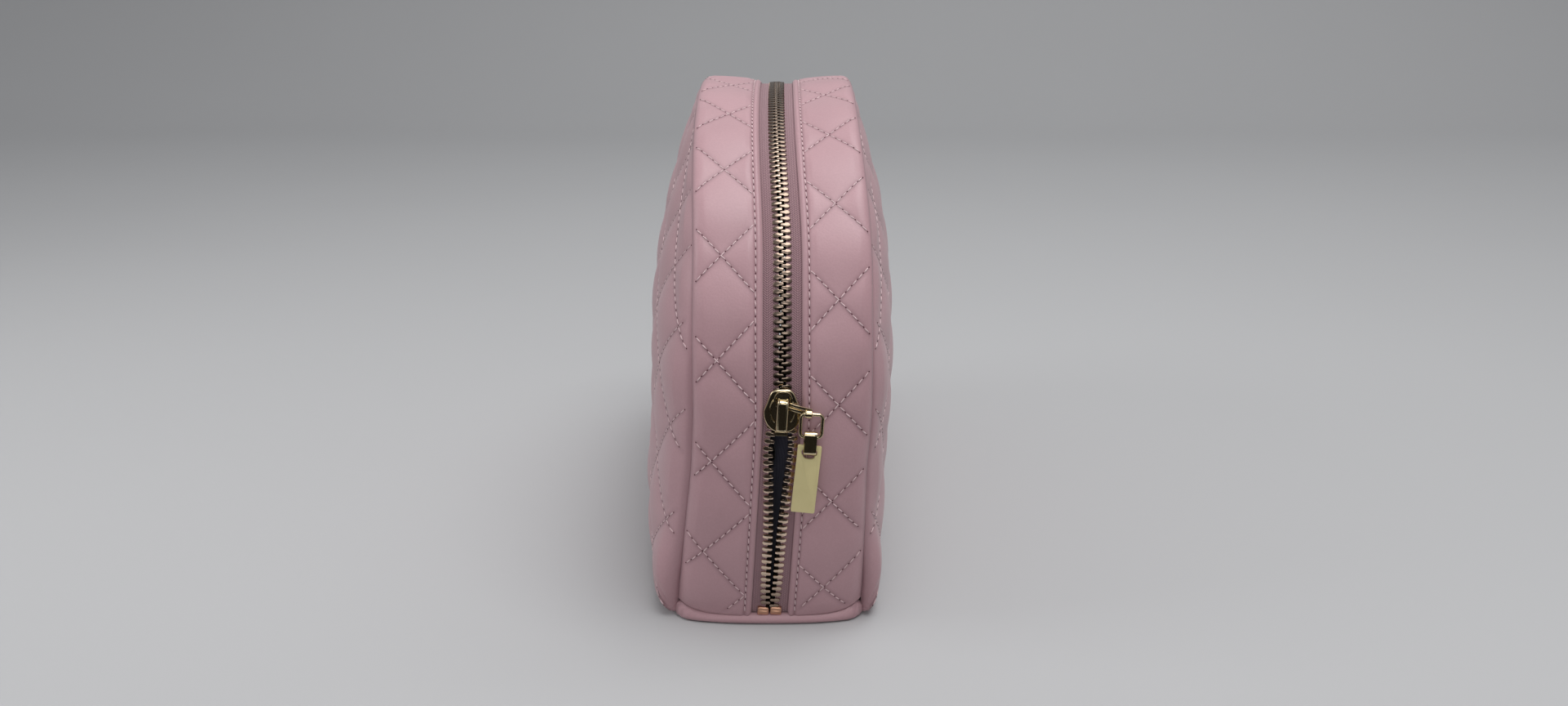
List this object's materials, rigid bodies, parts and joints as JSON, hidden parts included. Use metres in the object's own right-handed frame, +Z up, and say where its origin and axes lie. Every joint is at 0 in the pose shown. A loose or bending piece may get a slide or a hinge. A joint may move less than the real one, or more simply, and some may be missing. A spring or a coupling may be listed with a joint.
{
  "type": "makeup bag",
  "caption": "Soft quilted makeup bag with a domed outline and a flat base, opened by a metal zip that runs over its top, with a ring and tag pull.",
  "frame": {"origin": "middle of the base, on the surface that the bag stands on", "axes": "+X along the bag towards the end with the slider, +Y from the front panel to the back panel, +Z up"},
  "size_m": [0.2537, 0.0966, 0.184],
  "materials": {
    "leather_pink": "satin",
    "lining_dark": "matte",
    "wadding": "matte",
    "tape_pink": "matte",
    "teeth_brass": "satin",
    "gold_plate": "polished",
    "board": "matte"
  },
  "bodies": {
    "back_half": {"base_panel": "leather_pink", "base_board": "board", "base_lining": "lining_dark", "back_panel": "leather_pink", "back_panel_wadding": "wadding", "back_panel_lining": "lining_dark", "back_gusset": "leather_pink", "back_gusset_wadding": "wadding", "back_gusset_lining": "lining_dark", "back_zip_tape": "tape_pink", "back_zip_teeth": "teeth_brass", "back_end_stop": "teeth_brass", "far_end_stop": "teeth_brass"},
    "front_half": {"front_panel": "leather_pink", "front_panel_wadding": "wadding", "front_panel_lining": "lining_dark", "front_gusset": "leather_pink", "front_gusset_wadding": "wadding", "front_gusset_lining": "lining_dark", "front_zip_tape": "tape_pink", "front_zip_teeth": "teeth_brass", "front_end_stop": "teeth_brass"},
    "slider": {"slider_body": "gold_plate", "slider_bridge": "gold_plate"},
    "pull_link": {"pull_link": "gold_plate"},
    "pull_ring": {"pull_ring": "gold_plate"},
    "pull_connector": {"pull_connector": "gold_plate"},
    "pull_tag": {"pull_tag": "gold_plate"}
  },
  "joints": [
    {"name": "front_opening", "type": "hinge", "parent": "back_half", "child": "front_half", "pos_m": [0, -0.0335, 0.00305], "axis": [1, 0, 0], "range_deg": [0, 55]},
    {"name": "slider_travel", "type": "hinge", "parent": "back_half", "child": "slider", "pos_m": [-0.175, 0.00388, 0.06503], "axis": [0, 0.9981, -0.0624], "range_deg": [-2, 13], "deforming": ["front_zip_teeth", "back_zip_teeth", "front_zip_tape", "back_zip_tape"]},
    {"name": "link_swivel", "type": "hinge", "parent": "slider", "child": "pull_link", "pos_m": [0.12531, 0.00527, 0.08725], "axis": [0.9982, 0.0037, 0.0599], "range_deg": [-10, 35]},
    {"name": "ring_swing", "type": "hinge", "parent": "pull_link", "child": "pull_ring", "pos_m": [0.12719, 0.01361, 0.08283], "axis": [0, 0.9981, -0.0624], "range_deg": [-75, 0]},
    {"name": "connector_swing", "type": "hinge", "parent": "pull_ring", "child": "pull_connector", "pos_m": [0.12719, 0.01431, 0.07477], "axis": [0, 0.9981, -0.0624], "range_deg": [-40, 2]},
    {"name": "tag_swing", "type": "hinge", "parent": "pull_connector", "child": "pull_tag", "pos_m": [0.12719, 0.01408, 0.07118], "axis": [0, 0.9981, -0.0624], "range_deg": [-40, 2]}
  ]
}
